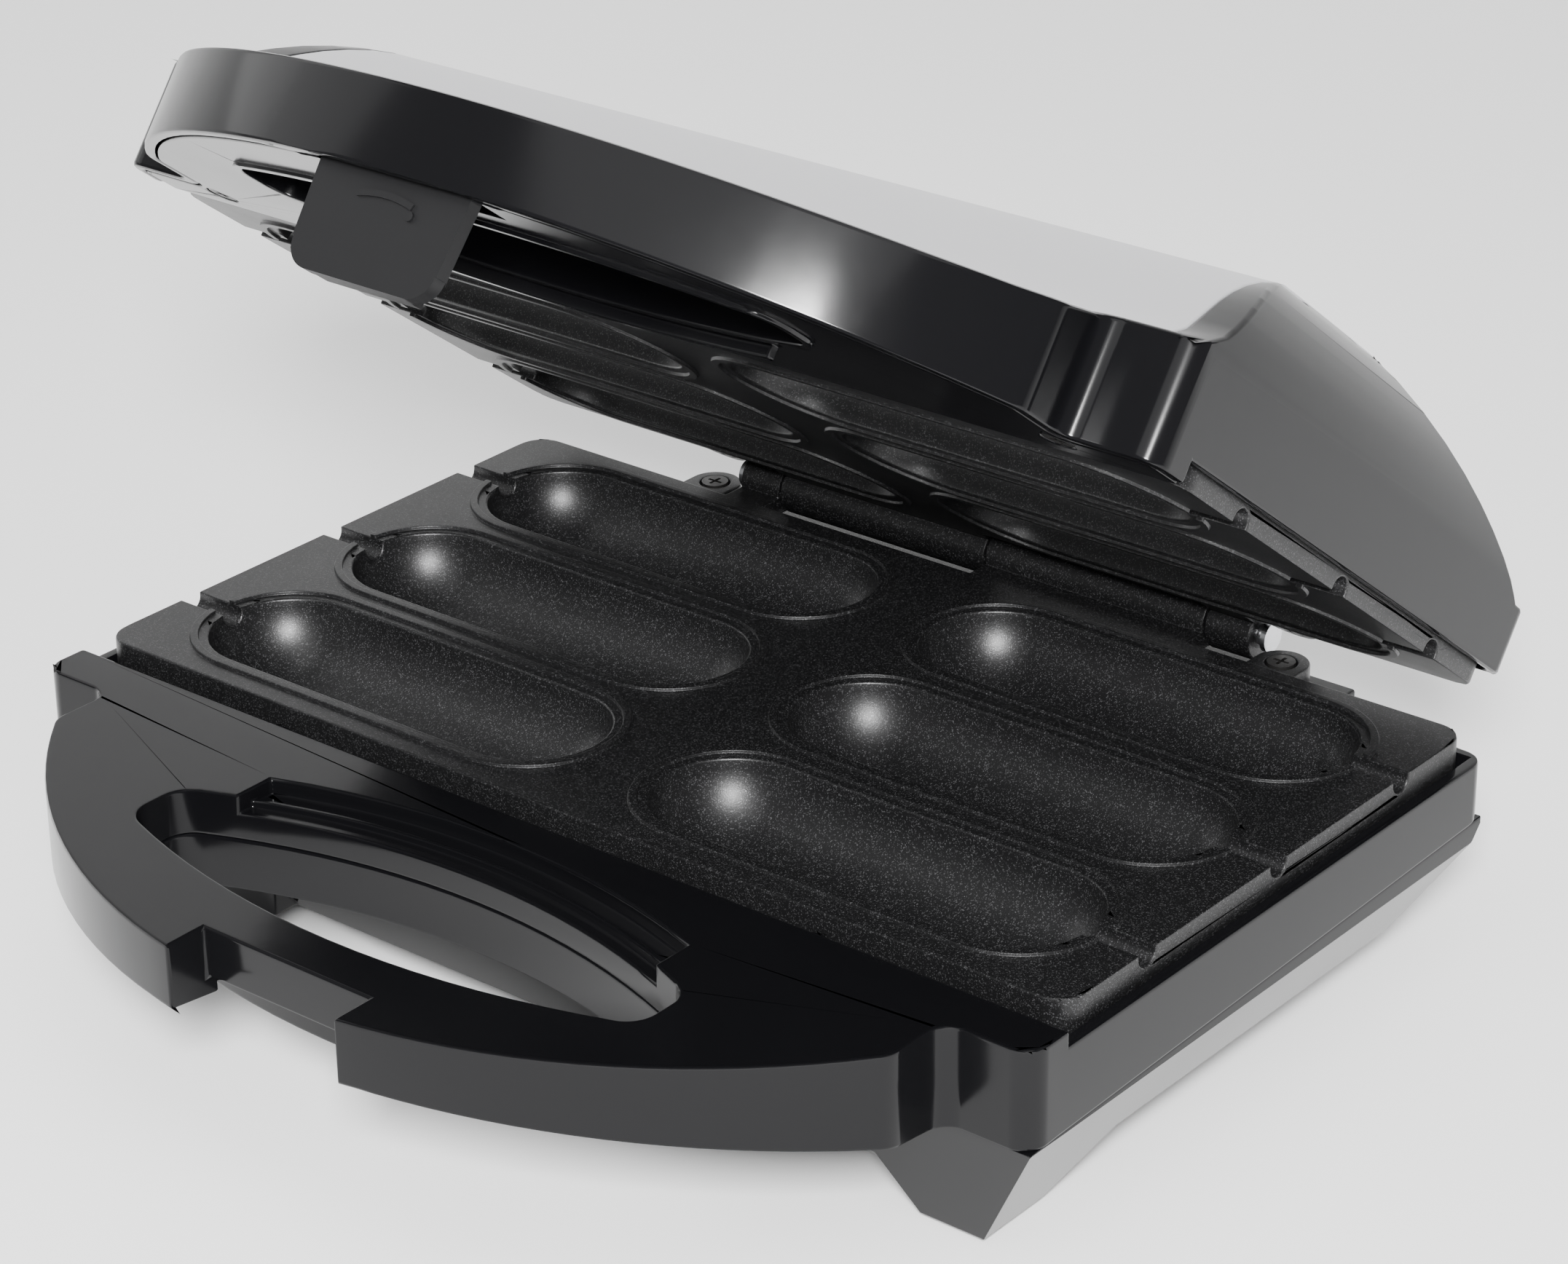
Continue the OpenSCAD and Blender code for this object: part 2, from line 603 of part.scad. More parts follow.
module base_bottom_shell() {
    color(gloss) on_base() difference() {
        union() {
            difference() {
                block(0);
                block(wall);
                difference() {
                    slab(200, [-200, 200], -30, 20);
                    below_parting(0);
                    translate([0, 0, seam_z - 40]) linear_extrude(40) lens(2.2);
                    intersection() {
                        translate([0, 0, seam_z - 40]) linear_extrude(40) rear_strip(0, 2.5, nose_half);
                        slab(200, [lens_rear_y - 20, shoulder_y + 5], -60, seam_z);
                    }
                }
            }
            // Underside of the handle, set inside the band
            difference() {
                intersection() {
                    translate([0, 0, -40]) linear_extrude(40) outline(wall + 0.15);
                    below_parting(wall);
                    slab(bow_half, [-bow_front, shoulder_y + wall], -40, 0);
                }
                below_parting(0.1);
                along_x(2 * (nose_half - wall)) polygon([[lens_rear_y + wall, -5],
                    [lens_rear_y + wall + 12, -40],
                    [shoulder_y + 20, -40], [shoulder_y + 20, -5]]);
            }
            // Webs that tie it to the shell
            both_sides() translate([nose_half + 18, shoulder_y + 0.5, band_shoulder_z - 3])
                cube([bow_half - nose_half - 24, wall - 0.2, wall + 2.5]);
            translate([0, 0, band_shoulder_z]) linear_extrude(seam_z - band_shoulder_z) difference() {
                lens(2.2);
                lens(0);
            }
            // Posts that the screws run through
            for (s = [-1, 1]) {
                intersection() {
                    union() {
                        translate([s * screw_front[0], screw_front[1], -40])
                            cylinder(r = 4.4, h = 40 - 22.1);
                        translate([s * screw_rear[0], screw_rear[1], -40]) cylinder(r = 5, h = 40 - 22.1);
                    }
                    block(0);
                }
            }
        }
        translate([0, 0, -80]) linear_extrude(80) lens(0);
        notch_box(wall + 0.15, -60, 0);
        translate([-notch_half - 3, notch_y - 1, -40]) cube([2 * notch_half + 6, 8, 40]);
        for (p = [screw_front, screw_rear], s = [-1, 1]) {
            translate([s * p[0], p[1], -60]) cylinder(r = hole_r, h = 50);
            translate([s * p[0], p[1], -60]) cylinder(r = 3.3, h = 60 + screw_seat_z);
        }
        // Vent slots under the plate
        for (i = [-4 : 4]) translate([i * 12 - 2, -24, -floor_drop - 1]) cube([4, 36, wall + 2]);
        for (x = [-1, 1], p = [foot_front, foot_rear]) translate([x * p[0], p[1], leg_z - 1])
            cylinder(r = foot_r + 0.02, h = 2.4);
        translate([inlet_x, rump_y - 8, inlet_z]) rotate([-90, 0, 0]) cylinder(r = inlet_r, h = 12);
    }
}
module lower_plate_screws() {
    color(steel) on_base() for (s = [-1, 1]) translate([s * ear_x, ear_y, -2.6]) screw(11, 2.9, 1.8);
}
module base_shell_screws() {
    color(steel) on_base() for (p = [screw_front, screw_rear], s = [-1, 1])
        translate([s * p[0], p[1], screw_seat_z]) rotate([180, 0, 0]) screw(9, 2.9, 1.8);
}
module rubber_feet() {
    color("#141414") on_base() for (x = [-1, 1], p = [foot_front, foot_rear])
        translate([x * p[0], p[1], -face_h]) cylinder(r = foot_r, h = 2.4);
}
module cord_inlet_bush() {
    color("#202022") on_base() translate([inlet_x, 0, inlet_z]) rotate([-90, 0, 0]) difference() {
        union() {
            translate([0, 0, rump_y + 0.02]) cylinder(r = 6.4, h = 2.2);
            translate([0, 0, rump_y - wall - 2]) cylinder(r = inlet_r - 0.05, h = wall + 3);
            translate([0, 0, rump_y - wall - 1.52]) cylinder(r = 4.95, h = 1.5);
        }
        translate([0, 0, rump_y - 8]) cylinder(r = 3.2, h = 14);
    }
}
module hinge_pin() {
    color(steel) on_base() translate([-knuckle_end - 1.2, hinge_y, hinge_z]) rotate([0, 90, 0]) {
        cylinder(r = hinge_pin_r, h = 2 * knuckle_end + 2.4);
        translate([0, 0, -1]) cylinder(r = 3.2, h = 1.2);
        translate([0, 0, 2 * knuckle_end + 2.2]) cylinder(r = 3.2, h = 1.2);
    }
}

// ---- Lid ----
// The crown's profile in Y and Z, from the handle over the crest to the rear
function crown(drop) = let (top = crest_h - drop, front = band_h - drop) concat(
    bezier([-bow_front - 5, front - 0.3], [-110, front + 2], [-84, front + 2.8],
        [shoulder_y + 8, front + 9.5], 8),
    bezier([shoulder_y + 8, front + 9.5], [shoulder_y + 22, top - 12.5], [shoulder_y + 34, top],
        [-12, top], 10),
    bezier([-12, top], [10, top], [half_d - 38, top - 9], [half_d - 6, front + 3.2], 10));
// The cheek's profile in X and Z
function cheek(inset) = let (x = body_half - inset, low = band_h + 5, top = crest_h) concat(
    [[x, -5]], bezier([x, low], [x - 1, low + 9.5], [x - 11, top - 1.2], [x - 26, top + 0.5],
        10), [[x - 26, top + 6]]);
module cheek_prism(inset) {
    right = cheek(inset);
    n = len(right);
    along_y(2 * bow_front + 30) polygon(concat(right, [for (i = [n - 1 : -1 : 0]) [-right[i][0],
        right[i][1]]]));
}
module crown_body(inset, drop) {
    intersection() {
        translate([0, 0, -1]) linear_extrude(crest_h + 5) {
            outline(inset);
            translate([inset - body_half + 4, half_d - 10])
                square([2 * (body_half - inset - 4), lid_rear_y - half_d + 10 - inset]);
        }
        along_x(2 * body_half + 10) polygon(concat([[-bow_front - 5, -5]], crown(drop),
            [[half_d - 4, band_h + 1.8 - drop], [lid_rear_y + 5, band_h + 1.8 - drop],
                [lid_rear_y + 5, -5]]));
        cheek_prism(inset);
    }
}
// Where the bright top panel lies, seen from the front and from above
module panel_zone(gap) {
    low = half_w - 4 - gap;
    high = low - 0.42 * (crest_h - band_h);
    intersection() {
        along_y(400) polygon([[-low, 0], [low, 0], [low, band_h + 5], [high, crest_h + 5],
            [-high, crest_h + 5], [-low, band_h + 5]]);
        translate([0, 0, 2]) linear_extrude(crest_h + 5) difference() {
            outline(2 + gap);
            translate([-200, half_d - 2 - gap]) square([400, 50]);
        }
    }
}
module lid_top_panel() {
    color(silver) on_lid() intersection() {
        difference() {
            crown_body(0, 0);
            crown_body(-1, panel_t * 1.2);
        }
        panel_zone(0.15);
    }
}
module lid_housing() {
    color(gloss) on_lid() difference() {
        union() {
            difference() {
                crown_body(0, 0);
                crown_body(wall, panel_t * 1.2 + wall * 1.2);
                // Recess that the bright panel lies in
                difference() {
                    panel_zone(0);
                    crown_body(-1, panel_t * 1.2);
                }
                translate([0, 0, -60 + lid_floor]) slab(200, [-200, 200], 0, 60);
                slab(200, [-half_d - 3, 200], -60, lid_rim);
                translate([-200, half_d + 0.5, -60]) cube([400, 50, 65.2]);
            }
            intersection() {
                crown_body(1, 3);
                for (s = [-1, 1]) {
                    translate([s * lid_screw[0], lid_screw[1], 2.5]) cylinder(r = 4, h = 40);
                    // Rib that bears on the front of the plate's skirt
                    translate([s * 78 - 1.2, -half_d - 5, skirt_h]) cube([2.4, 9, 40]);
                }
            }
            // Bosses behind the lid that the plate's ears are screwed to
            for (s = [-1, 1]) {
                translate([s * ear_x, ear_y, ear_t + 1]) cylinder(r = post_r, h = band_h - ear_t);
                translate([s * ear_x, ear_y, 6]) cylinder(r = post_r + 0.4, h = band_h - 5.2);
            }
            // Lugs that hold the latch's pin
            for (s = [-1, 1]) translate([s * (latch_w / 2 + 2.2) - 1.4, -bow_front + 2,
                lid_floor + 0.4]) cube([2.8, 10, 7.5]);
        }
        translate([-latch_w / 2 - 0.8, -bow_front + 2.1, -5]) cube([latch_w + 1.6, 9, 15]);
        translate([-latch_w / 2 - 3.4, latch_pin_y, latch_pin_z]) rotate([0, 90, 0])
            cylinder(r = latch_pin_r, h = latch_w + 6.8);
        for (s = [-1, 1]) {
            translate([s * ear_x, ear_y, 0]) cylinder(r = pilot_r, h = 15);
            translate([s * lid_screw[0], lid_screw[1], 0]) cylinder(r = pilot_r, h = 14);
        }
    }
}
module lid_inner_panel() {
    inset = wall + 0.3;
    color(gloss) on_lid() difference() {
        union() {
            intersection() {
                translate([0, 0, lid_floor]) linear_extrude(2.4) outline(inset);
                slab(200, [-200, -half_d - plate_clear], -10, 20);
            }
            // Finger pocket, closed at the top, with a raised lip
            translate([0, 0, lid_floor - 0.8]) linear_extrude(pocket_depth + 2.4) lens(2);
            // Curved tongue that drops behind the base's ledge
            translate([0, 0, lid_floor - 3]) linear_extrude(4) rear_strip(3.4, 5.6, ledge_half - 3);
            for (s = [-1, 1]) translate([s * lid_screw[0], lid_screw[1], lid_floor])
                cylinder(r = 4.5, h = 2.7);
        }
        translate([0, 0, -5]) linear_extrude(5 + pocket_depth) lens(0);
        translate([-latch_w / 2 - 0.8, -bow_front, -5]) cube([latch_w + 1.6, 13, 12]);
        translate([-latch_w / 2 - 5, -bow_front, 0.1]) cube([latch_w + 10, 13.2, 12]);
        for (s = [-1, 1]) {
            translate([s * lid_screw[0], lid_screw[1], -5]) cylinder(r = hole_r, h = 12);
            translate([s * lid_screw[0], lid_screw[1], lid_floor - 1]) cylinder(r = 3.25, h = 2.4);
        }
    }
}
module lid_panel_screws() {
    color(steel) on_lid() for (s = [-1, 1]) translate([s * lid_screw[0], lid_screw[1], lid_floor + 1.4])
        rotate([180, 0, 0]) screw(9, 2.9, 1.2);
}
module upper_plate_screws() {
    color(steel) on_lid() flipped() for (s = [-1, 1])
        translate([s * ear_x, ear_y, -2.6]) screw(11, 2.9, 1.8);
}
module latch() {
    top = latch_w / 2;
    low = top - 1.2;
    corner = 5;
    color("#232326") on_lid() translate([0, latch_face_y, 0]) difference() {
        union() {
            translate([0, latch_t, 0]) rotate([90, 0, 0]) linear_extrude(latch_t) difference() {
                polygon([[-top, latch_pin_z + 1], [top, latch_pin_z + 1], [low, latch_low],
                    [-low, latch_low]]);
                for (s = [-1, 1]) translate([s * low, latch_low]) difference() {
                    translate([-corner, -1]) square([2 * corner, corner + 1]);
                    translate([-s * corner, corner]) circle(corner);
                }
            }
            translate([-top, latch_pin_y - latch_face_y, latch_pin_z]) rotate([0, 90, 0])
                cylinder(r = 2.7, h = latch_w);
            // Hook along the inner face
            translate([-low + 5.5, latch_t - 0.5, latch_low])
                cube([2 * low - 11, notch_y - latch_face_y - latch_t, hook_z - latch_low]);
            // Raised bow that ends in a small hook, for the thumb
            translate([0, 0.3, -28]) rotate([90, 0, 0]) {
                rotate(75) rotate_extrude(angle = 30) translate([24, 0]) square([1.2, 0.8]);
                translate([24.6 * sin(15), 24.6 * cos(15) - 1.6, 0]) cylinder(r = 0.9, h = 0.8);
            }
        }
        translate([-latch_w, latch_pin_y - latch_face_y, latch_pin_z]) rotate([0, 90, 0])
            cylinder(r = latch_pin_r + 0.05, h = 2 * latch_w);
    }
}
module latch_pin() {
    color(steel) on_lid() translate([-latch_w / 2 - 3.4, latch_pin_y, latch_pin_z]) rotate([0, 90, 0])
        cylinder(r = latch_pin_r, h = latch_w + 6.8);
}

base_housing();
base_bottom_shell();
lower_plate();
lower_plate_screws();
lower_heating_element();
lower_element_clamps();
lower_heater_screws();
lower_heat_shield();
thermostat();
base_terminal_block();
base_leads();
base_shell_screws();
rubber_feet();
cord_inlet_bush();
hinge_pin();
lid_housing();
lid_top_panel();
lid_inner_panel();
lid_panel_screws();
upper_plate();
upper_plate_screws();
upper_heating_element();
upper_element_clamps();
upper_heater_screws();
upper_heat_shield();
thermal_fuse();
lid_terminal_block();
lid_leads();
latch();
latch_pin();
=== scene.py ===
# Electric maker for cakes on sticks: a clamshell with two cast non-stick plates.
# The sections follow the order in which the maker is put together.
import bpy, bmesh, json, math
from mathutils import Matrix, Quaternion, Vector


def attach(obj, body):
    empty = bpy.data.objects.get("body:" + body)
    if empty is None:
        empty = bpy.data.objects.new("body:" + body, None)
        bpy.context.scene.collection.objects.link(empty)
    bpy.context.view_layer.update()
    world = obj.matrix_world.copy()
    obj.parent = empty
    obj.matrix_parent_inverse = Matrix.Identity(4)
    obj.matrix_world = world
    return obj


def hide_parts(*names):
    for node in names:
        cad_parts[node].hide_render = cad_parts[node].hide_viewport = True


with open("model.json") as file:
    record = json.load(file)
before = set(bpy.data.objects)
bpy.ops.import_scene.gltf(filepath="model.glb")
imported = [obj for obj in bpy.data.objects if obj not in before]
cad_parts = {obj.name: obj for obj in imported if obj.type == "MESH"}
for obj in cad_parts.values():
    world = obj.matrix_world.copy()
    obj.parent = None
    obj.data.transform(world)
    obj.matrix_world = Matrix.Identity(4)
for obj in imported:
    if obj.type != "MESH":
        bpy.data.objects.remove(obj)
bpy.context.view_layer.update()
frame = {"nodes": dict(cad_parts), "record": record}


# --- Camera, floor and light ---------------------------------------------------
# The maker stands on a white paper sweep. A small soft lamp stands beside the
# camera, and a wide one overhead lights the paper evenly.
eye = Vector((0.4996, -0.5753, 0.4358))
aim = Vector((-0.0002, 0.0338, 0.0600))
roll = Quaternion((0, 0, 1), math.radians(-0.68))
camera = bpy.data.objects.new("camera", bpy.data.cameras.new("camera"))
camera.data.lens = 101.57
camera.data.sensor_width = 36
camera.data.clip_start = 0.02
camera.location = eye
camera.rotation_mode = "QUATERNION"
camera.rotation_quaternion = (aim - eye).to_track_quat("-Z", "Y") @ roll
bpy.context.scene.collection.objects.link(camera)
bpy.context.scene.camera = camera

floor_finish = bpy.data.materials.new("pale_floor")
floor_finish.use_nodes = True
paper = floor_finish.node_tree.nodes["Principled BSDF"]
paper.inputs["Base Color"].default_value = (0.93, 0.93, 0.93, 1)
paper.inputs["Roughness"].default_value = 0.9
sweep = bmesh.new()
curve_start, curve_radius, curve_steps = 1.4, 0.8, 12
profile = [(-3.0, 0.0), (curve_start, 0.0)]
for step in range(1, curve_steps + 1):
    turn = math.pi / 2 * step / curve_steps
    back = curve_start + curve_radius * math.sin(turn)
    profile.append((back, curve_radius - curve_radius * math.cos(turn)))
profile.append((2.2, 3.2))
half_width = 4
rows = [[sweep.verts.new((x, y, z)) for x in (-half_width, half_width)] for y, z in profile]
for low, high in zip(rows, rows[1:]):
    sweep.faces.new((low[0], low[1], high[1], high[0]))
floor_mesh = bpy.data.meshes.new("floor")
sweep.to_mesh(floor_mesh)
sweep.free()
floor = bpy.data.objects.new("floor", floor_mesh)
floor.data.materials.append(floor_finish)
floor.rotation_euler[2] = math.radians(39.6)
bpy.context.scene.collection.objects.link(floor)


def soft_lamp(name, kind, place, power, size):
    lamp = bpy.data.objects.new(name, bpy.data.lights.new(name, kind))
    lamp.data.energy = power
    if kind == "SUN":
        lamp.data.angle = size
    else:
        lamp.data.size = size
    lamp.location = place
    lamp.rotation_mode = "QUATERNION"
    lamp.rotation_quaternion = (Vector((0, 0, 0.05)) - Vector(place)).to_track_quat("-Z", "Y")
    bpy.context.scene.collection.objects.link(lamp)


soft_lamp("lamp_by_camera", "AREA", (0.75, -0.92, 0.82), 58, 0.26)
soft_lamp("sheet_left", "AREA", (-1.5, -0.35, 0.9), 4, 1.0)
soft_lamp("wide_overhead", "SUN", (0.5, -0.9, 2.2), 1.9, math.radians(70))

sky = bpy.data.worlds.new("room")
bpy.context.scene.world = sky
sky.use_nodes = True
sky.node_tree.nodes["Background"].inputs["Color"].default_value = (1, 1, 1, 1)
sky.node_tree.nodes["Background"].inputs["Strength"].default_value = 0.36


# --- Base housing and bottom shell ---------------------------------------------
# Two injection-moulded shells in polished black plastic. The upper one carries the
# looped handle; the lower one has the legs, and four screws hold the two together.
def finish_of(name, build):
    paint = bpy.data.materials.new(name)
    paint.use_nodes = True
    tree = paint.node_tree
    build(tree, tree.nodes["Principled BSDF"])
    return paint


def texture(tree, kind, scale, **settings):
    place = tree.nodes.new("ShaderNodeTexCoord")
    node = tree.nodes.new(kind)
    node.inputs["Scale"].default_value = scale
    for key, value in settings.items():
        node.inputs[key].default_value = value
    tree.links.new(place.outputs["Object"], node.inputs["Vector"])
    return node


def between(tree, source, low, high, start=0.0, end=1.0):
    span = tree.nodes.new("ShaderNodeMapRange")
    span.inputs["From Min"].default_value = start
    span.inputs["From Max"].default_value = end
    span.inputs["To Min"].default_value = low
    span.inputs["To Max"].default_value = high
    tree.links.new(source, span.inputs["Value"])
    return span.outputs["Result"]


def relief(tree, shader, source, height, strength=1.0):
    bump = tree.nodes.new("ShaderNodeBump")
    bump.inputs["Distance"].default_value = height
    bump.inputs["Strength"].default_value = strength
    tree.links.new(source, bump.inputs["Height"])
    tree.links.new(bump.outputs["Normal"], shader.inputs["Normal"])


def eased_copy(node, radius, paint):
    """The moulding with its sharp edges rounded, as the mould leaves them."""
    crease = math.radians(28)
    same_point = 4e-6
    form = bmesh.new()
    form.from_mesh(frame["nodes"][node].data)
    bmesh.ops.remove_doubles(form, verts=form.verts, dist=same_point)
    bmesh.ops.dissolve_degenerate(form, dist=same_point, edges=form.edges)
    bmesh.ops.dissolve_limit(form, angle_limit=math.radians(0.5), verts=form.verts, edges=form.edges)
    many_sided = [f for f in form.faces if len(f.verts) > 4]
    bmesh.ops.triangulate(form, faces=many_sided, ngon_method="BEAUTY")
    share = form.edges.layers.float.new("bevel_weight_edge")
    sharp = {e for e in form.edges if len(e.link_faces) == 2 and e.calc_face_angle(0) > crease}
    for edge in sharp:
        along = (edge.verts[1].co - edge.verts[0].co).normalized()
        room = radius
        for corner in edge.verts:
            for other in corner.link_edges:
                step = other.other_vert(corner).co - corner.co
                across = along.cross(step).length
                if other is not edge and across > 0.5 * step.length:
                    taken = any(e in sharp for e in other.other_vert(corner).link_edges)
                    room = min(room, across * (0.4 if taken else 0.8))
        edge[share] = room / radius
    mesh = bpy.data.meshes.new(node + "_rough")
    form.to_mesh(mesh)
    form.free()
    if "custom_normal" in mesh.attributes:
        mesh.attributes.remove(mesh.attributes["custom_normal"])
    rough = bpy.data.objects.new(node + "_rough", mesh)
    bpy.context.scene.collection.objects.link(rough)
    rounding = rough.modifiers.new("rounding", "BEVEL")
    rounding.limit_method = "WEIGHT"
    rounding.width = radius
    rounding.segments = 2
    rounding.use_clamp_overlap = False
    settled = rough.evaluated_get(bpy.context.evaluated_depsgraph_get())
    rounded = bpy.data.meshes.new_from_object(settled)
    bpy.data.objects.remove(rough)
    rounded.name = node + "_eased"
    form = bmesh.new()
    form.from_mesh(rounded)
    bmesh.ops.dissolve_limit(form, angle_limit=math.radians(0.4), verts=form.verts, edges=form.edges)
    form.to_mesh(rounded)
    form.free()
    rounded.shade_smooth()
    rounded.set_sharp_from_angle(angle=math.radians(40))
    rounded.materials.clear()
    rounded.materials.append(paint)
    piece = bpy.data.objects.new(node + "_eased", rounded)
    bpy.context.scene.collection.objects.link(piece)
    shading = piece.modifiers.new("even_shading", "WEIGHTED_NORMAL")
    shading.keep_sharp = True
    shading.weight = 90
    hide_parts(node)
    bodies = frame["record"]["behaviour"]["bodies"]
    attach(piece, next(body for body, nodes in bodies.items() if node in nodes))


def polished_plastic(tree, shader):
    shader.inputs["Base Color"].default_value = (0.003, 0.003, 0.0035, 1)
    shader.inputs["IOR"].default_value = 1.46
    shader.inputs["Specular IOR Level"].default_value = 0.25
    cloud = texture(tree, "ShaderNodeTexNoise", 18, Detail=4)
    tree.links.new(between(tree, cloud.outputs["Fac"], 0.10, 0.19, 0.3, 0.7), shader.inputs["Roughness"])
    skin = texture(tree, "ShaderNodeTexNoise", 140, Detail=2)
    relief(tree, shader, skin.outputs["Fac"], 0.00002, 0.5)


black_gloss = finish_of("polished_black_plastic", polished_plastic)
eased_copy("base_housing", 0.0007, black_gloss)
eased_copy("base_bottom_shell", 0.0007, black_gloss)


def dress(node, paint):
    shown = frame["nodes"][node]
    shown.data.materials.clear()
    shown.data.materials.append(paint)


# --- Rubber feet and cord inlet ------------------------------------------------
# Soft black rubber pads pressed into the legs, and the bush that lines the hole
# for the lead in the rear wall.
def dull_rubber(tree, shader):
    shader.inputs["Base Color"].default_value = (0.012, 0.012, 0.012, 1)
    grain = texture(tree, "ShaderNodeTexNoise", 900, Detail=3)
    tree.links.new(between(tree, grain.outputs["Fac"], 0.6, 0.85), shader.inputs["Roughness"])
    relief(tree, shader, grain.outputs["Fac"], 0.00004, 0.6)


black_rubber = finish_of("soft_black_rubber", dull_rubber)
dress("rubber_feet", black_rubber)
dress("cord_inlet_bush", black_rubber)


# --- Cooking plates ------------------------------------------------------------
# Two identical aluminium castings with six troughs each. The non-stick coating is
# near black with fine metal flakes, and shows every soft highlight as grain.
def non_stick(tree, shader):
    flakes = texture(tree, "ShaderNodeTexVoronoi", 5000, Randomness=1.0)
    glint = between(tree, flakes.outputs["Color"], 0.0, 1.0, 0.7, 1.0)
    tone = tree.nodes.new("ShaderNodeMix")
    tone.data_type = "RGBA"
    tone.inputs["A"].default_value = (0.007, 0.007, 0.0074, 1)
    tone.inputs["B"].default_value = (0.08, 0.08, 0.083, 1)
    tree.links.new(glint, tone.inputs["Factor"])
    tree.links.new(tone.outputs["Result"], shader.inputs["Base Color"])
    shader.inputs["Metallic"].default_value = 0.35
    patch = texture(tree, "ShaderNodeTexNoise", 30, Detail=3)
    tree.links.new(between(tree, patch.outputs["Fac"], 0.35, 0.41, 0.3, 0.7), shader.inputs["Roughness"])
    grain = texture(tree, "ShaderNodeTexNoise", 3000, Detail=2)
    relief(tree, shader, grain.outputs["Fac"], 0.00004, 0.5)


coating = finish_of("non_stick_coating", non_stick)
eased_copy("lower_plate", 0.0005, coating)
eased_copy("upper_plate", 0.0005, coating)


# --- Heating, inside the shells ------------------------------------------------
# A looped tubular element under each plate, its straps, the rolled sheet that
# throws the heat back, and the thermostat, fuse and terminal blocks.
def oxidised_sheath(tree, shader):
    shader.inputs["Metallic"].default_value = 0.9
    shader.inputs["Base Color"].default_value = (0.21, 0.18, 0.15, 1)
    scale = texture(tree, "ShaderNodeTexNoise", 220, Detail=5)
    tree.links.new(between(tree, scale.outputs["Fac"], 0.35, 0.65, 0.3, 0.7), shader.inputs["Roughness"])


def bright_zinc(tree, shader):
    shader.inputs["Metallic"].default_value = 1.0
    shader.inputs["Base Color"].default_value = (0.62, 0.63, 0.65, 1)
    spangle = texture(tree, "ShaderNodeTexNoise", 400, Detail=3)
    tree.links.new(between(tree, spangle.outputs["Fac"], 0.2, 0.4, 0.3, 0.7), shader.inputs["Roughness"])


def rolled_sheet(tree, shader):
    shader.inputs["Metallic"].default_value = 1.0
    shader.inputs["Base Color"].default_value = (0.8, 0.8, 0.82, 1)
    streak = texture(tree, "ShaderNodeTexWave", 260, Distortion=2.0)
    tree.links.new(between(tree, streak.outputs["Fac"], 0.22, 0.34), shader.inputs["Roughness"])


def fired_ceramic(tree, shader):
    shader.inputs["Base Color"].default_value = (0.74, 0.69, 0.58, 1)
    speck = texture(tree, "ShaderNodeTexNoise", 700, Detail=3)
    tree.links.new(between(tree, speck.outputs["Fac"], 0.55, 0.75), shader.inputs["Roughness"])
    relief(tree, shader, speck.outputs["Fac"], 0.00003, 0.5)


def plain_brass(tree, shader):
    shader.inputs["Metallic"].default_value = 1.0
    shader.inputs["Base Color"].default_value = (0.66, 0.5, 0.24, 1)
    rub = texture(tree, "ShaderNodeTexNoise", 500, Detail=2)
    tree.links.new(between(tree, rub.outputs["Fac"], 0.25, 0.4), shader.inputs["Roughness"])


def lead_sleeve(tree, shader):
    shader.inputs["Base Color"].default_value = (0.42, 0.05, 0.03, 1)
    weave = texture(tree, "ShaderNodeTexNoise", 600, Detail=2)
    tree.links.new(between(tree, weave.outputs["Fac"], 0.4, 0.6), shader.inputs["Roughness"])


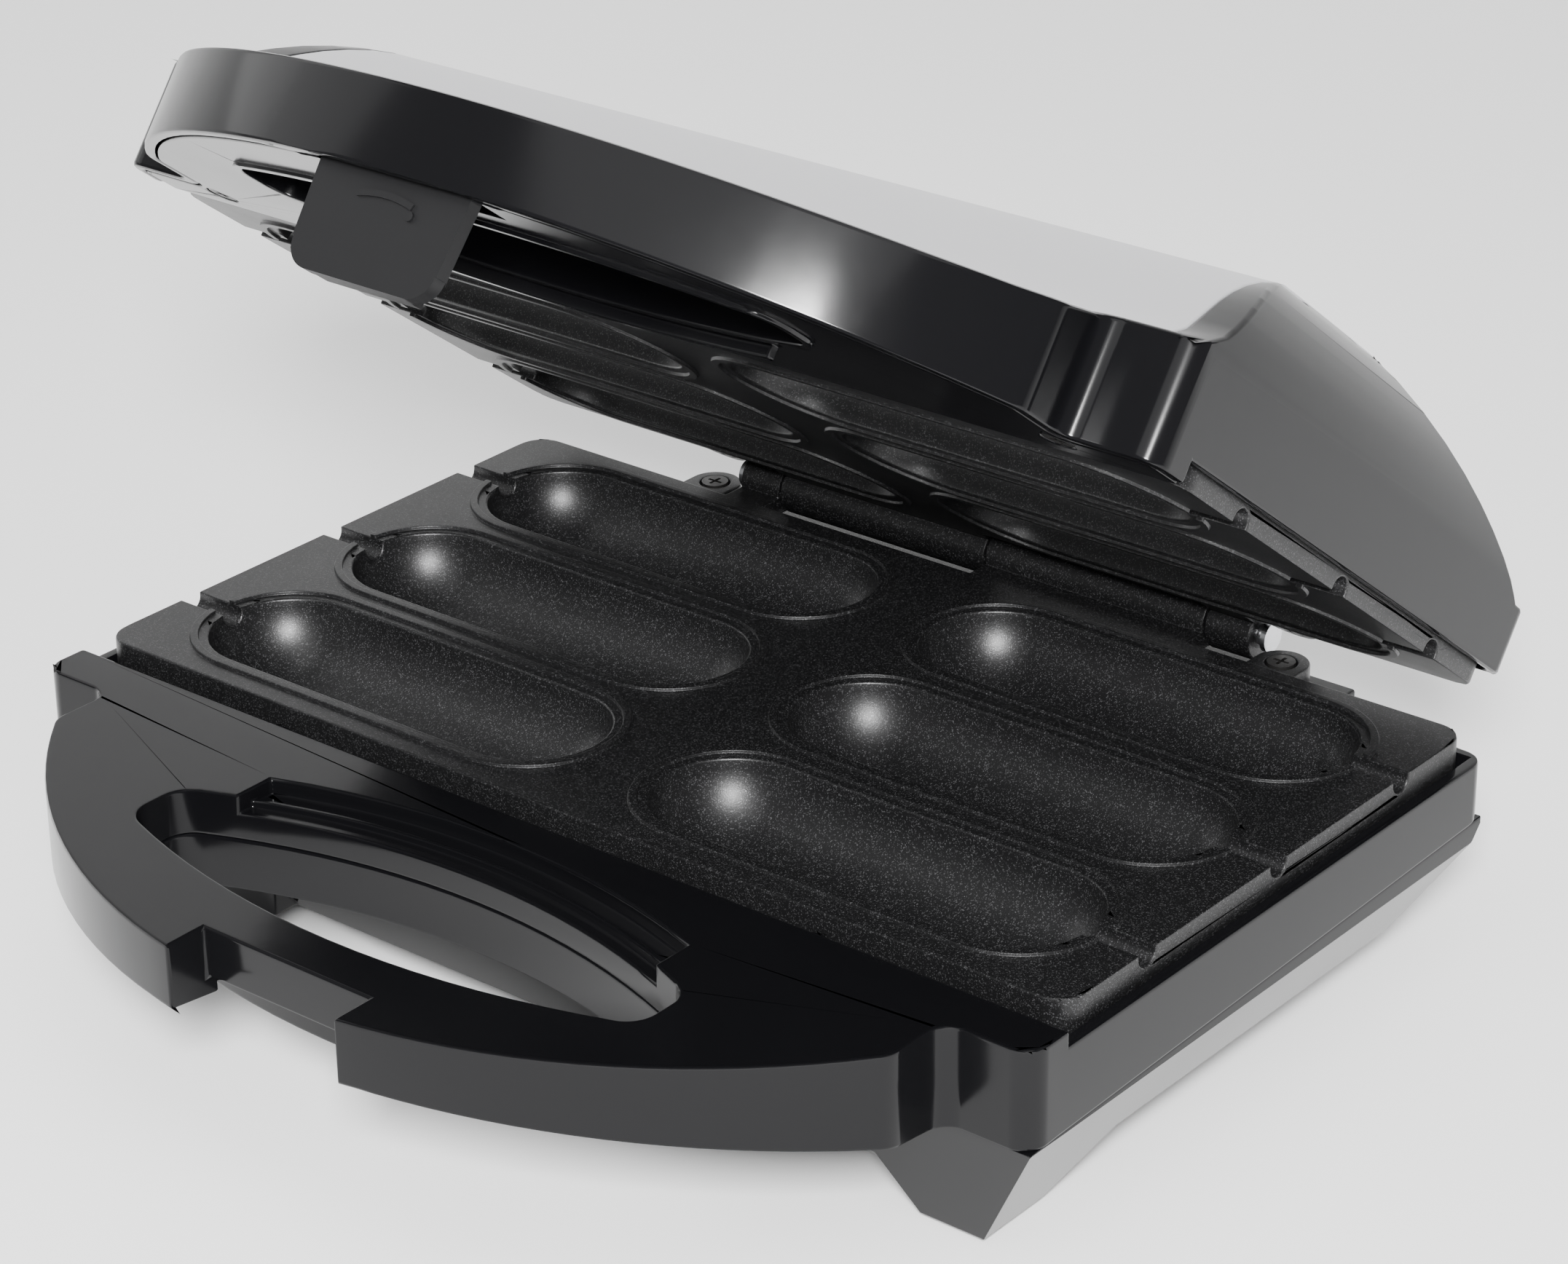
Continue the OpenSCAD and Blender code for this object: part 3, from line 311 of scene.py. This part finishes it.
sheath, zinc = finish_of("oxidised_sheath", oxidised_sheath), finish_of("bright_zinc", bright_zinc)
sheet, cream = finish_of("rolled_sheet", rolled_sheet), finish_of("fired_ceramic", fired_ceramic)
brass, sleeve = finish_of("plain_brass", plain_brass), finish_of("lead_sleeve", lead_sleeve)
for side in ("lower", "upper"):
    dress(side + "_heating_element", sheath)
    dress(side + "_element_clamps", zinc)
    dress(side + "_heater_screws", zinc)
    dress(side + "_heat_shield", sheet)
for node in ("thermostat", "base_terminal_block", "lid_terminal_block"):
    dress(node, cream)
dress("thermal_fuse", brass)
dress("base_leads", sleeve)
dress("lid_leads", sleeve)


# --- Screws and pins -----------------------------------------------------------
# Blackened cross-head screws hold the plates and the lid's panel, and zinc-plated
# ones the base's shells. The hinge and the latch turn on drawn steel pins.
def blackened_steel(tree, shader):
    shader.inputs["Metallic"].default_value = 0.7
    shader.inputs["Base Color"].default_value = (0.035, 0.034, 0.033, 1)
    oil = texture(tree, "ShaderNodeTexNoise", 500, Detail=4)
    tree.links.new(between(tree, oil.outputs["Fac"], 0.28, 0.45, 0.3, 0.7), shader.inputs["Roughness"])


blackened = finish_of("blackened_steel", blackened_steel)
for node in ("lower_plate_screws", "upper_plate_screws", "lid_panel_screws"):
    dress(node, blackened)
for node in ("base_shell_screws", "hinge_pin", "latch_pin"):
    dress(node, zinc)


# --- Lid -----------------------------------------------------------------------
# A black polished shell with a satin silver top panel let into it, closed from
# below by a black panel with the finger pocket.
def satin_silver(tree, shader):
    shader.inputs["Metallic"].default_value = 0.85
    shader.inputs["Base Color"].default_value = (0.78, 0.78, 0.80, 1)
    grain = texture(tree, "ShaderNodeTexNoise", 1500, Detail=2)
    tree.links.new(between(tree, grain.outputs["Fac"], 0.34, 0.44), shader.inputs["Roughness"])


silver = finish_of("satin_silver", satin_silver)
eased_copy("lid_housing", 0.0008, black_gloss)
eased_copy("lid_inner_panel", 0.0005, black_gloss)
eased_copy("lid_top_panel", 0.0004, silver)


# --- Latch ---------------------------------------------------------------------
# One moulded black tab that swings on its pin and hooks under the handle's bar.
# Its face is satin, with a raised bow for the thumb.
def satin_plastic(tree, shader):
    shader.inputs["Base Color"].default_value = (0.006, 0.006, 0.0065, 1)
    shader.inputs["Specular IOR Level"].default_value = 0.3
    grain = texture(tree, "ShaderNodeTexNoise", 1100, Detail=3)
    tree.links.new(between(tree, grain.outputs["Fac"], 0.38, 0.5), shader.inputs["Roughness"])
    relief(tree, shader, grain.outputs["Fac"], 0.00003, 0.4)


dress("latch", finish_of("satin_black_plastic", satin_plastic))
